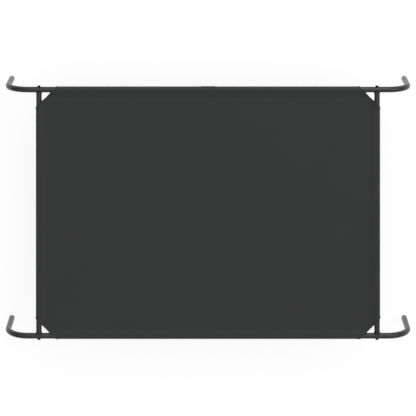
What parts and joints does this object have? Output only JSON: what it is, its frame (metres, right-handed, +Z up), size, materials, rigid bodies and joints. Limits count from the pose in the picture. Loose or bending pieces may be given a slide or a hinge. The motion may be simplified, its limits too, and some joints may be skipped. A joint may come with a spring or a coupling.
{
  "type": "raised dog bed with frame",
  "caption": "Raised pet cot: a fabric sling with cut-off corners, sleeved over a bolted frame of round steel tube whose long rails bend down into legs.",
  "frame": {"origin": "on the floor, under the middle of the bed", "axes": "+X along the length, along the rails; +Y across the width, towards the side with the label; +Z up"},
  "size_m": [1.3, 0.808, 0.181],
  "materials": {
    "powder_coated_tube": "dark grey powder coat, satin",
    "saddle_plastic": "moulded black, fine grain",
    "black_bolt_steel": "black oxide, satin",
    "zinc_nut_steel": "zinc plated",
    "foot_plastic": "moulded black, slightly worn where it stands",
    "sling_fabric": "anthracite coated plain weave, matte",
    "label_fabric": "black woven tape, blank"
  },
  "bodies": {
    "root": {"rail_back_left": "powder_coated_tube", "rail_back_right": "powder_coated_tube", "rail_front_left": "powder_coated_tube", "rail_front_right": "powder_coated_tube", "saddle_back_left": "saddle_plastic", "saddle_back_right": "saddle_plastic", "saddle_front_left": "saddle_plastic", "saddle_front_right": "saddle_plastic", "bolt_back_left": "black_bolt_steel", "bolt_back_right": "black_bolt_steel", "bolt_front_left": "black_bolt_steel", "bolt_front_right": "black_bolt_steel", "nut_back_left": "zinc_nut_steel", "nut_back_right": "zinc_nut_steel", "nut_front_left": "zinc_nut_steel", "nut_front_right": "zinc_nut_steel", "foot_back_left": "foot_plastic", "foot_back_right": "foot_plastic", "foot_front_left": "foot_plastic", "foot_front_right": "foot_plastic", "cross_tube_left": "powder_coated_tube", "cross_tube_right": "powder_coated_tube", "sling": "sling_fabric", "label": "label_fabric"}
  },
  "joints": []
}
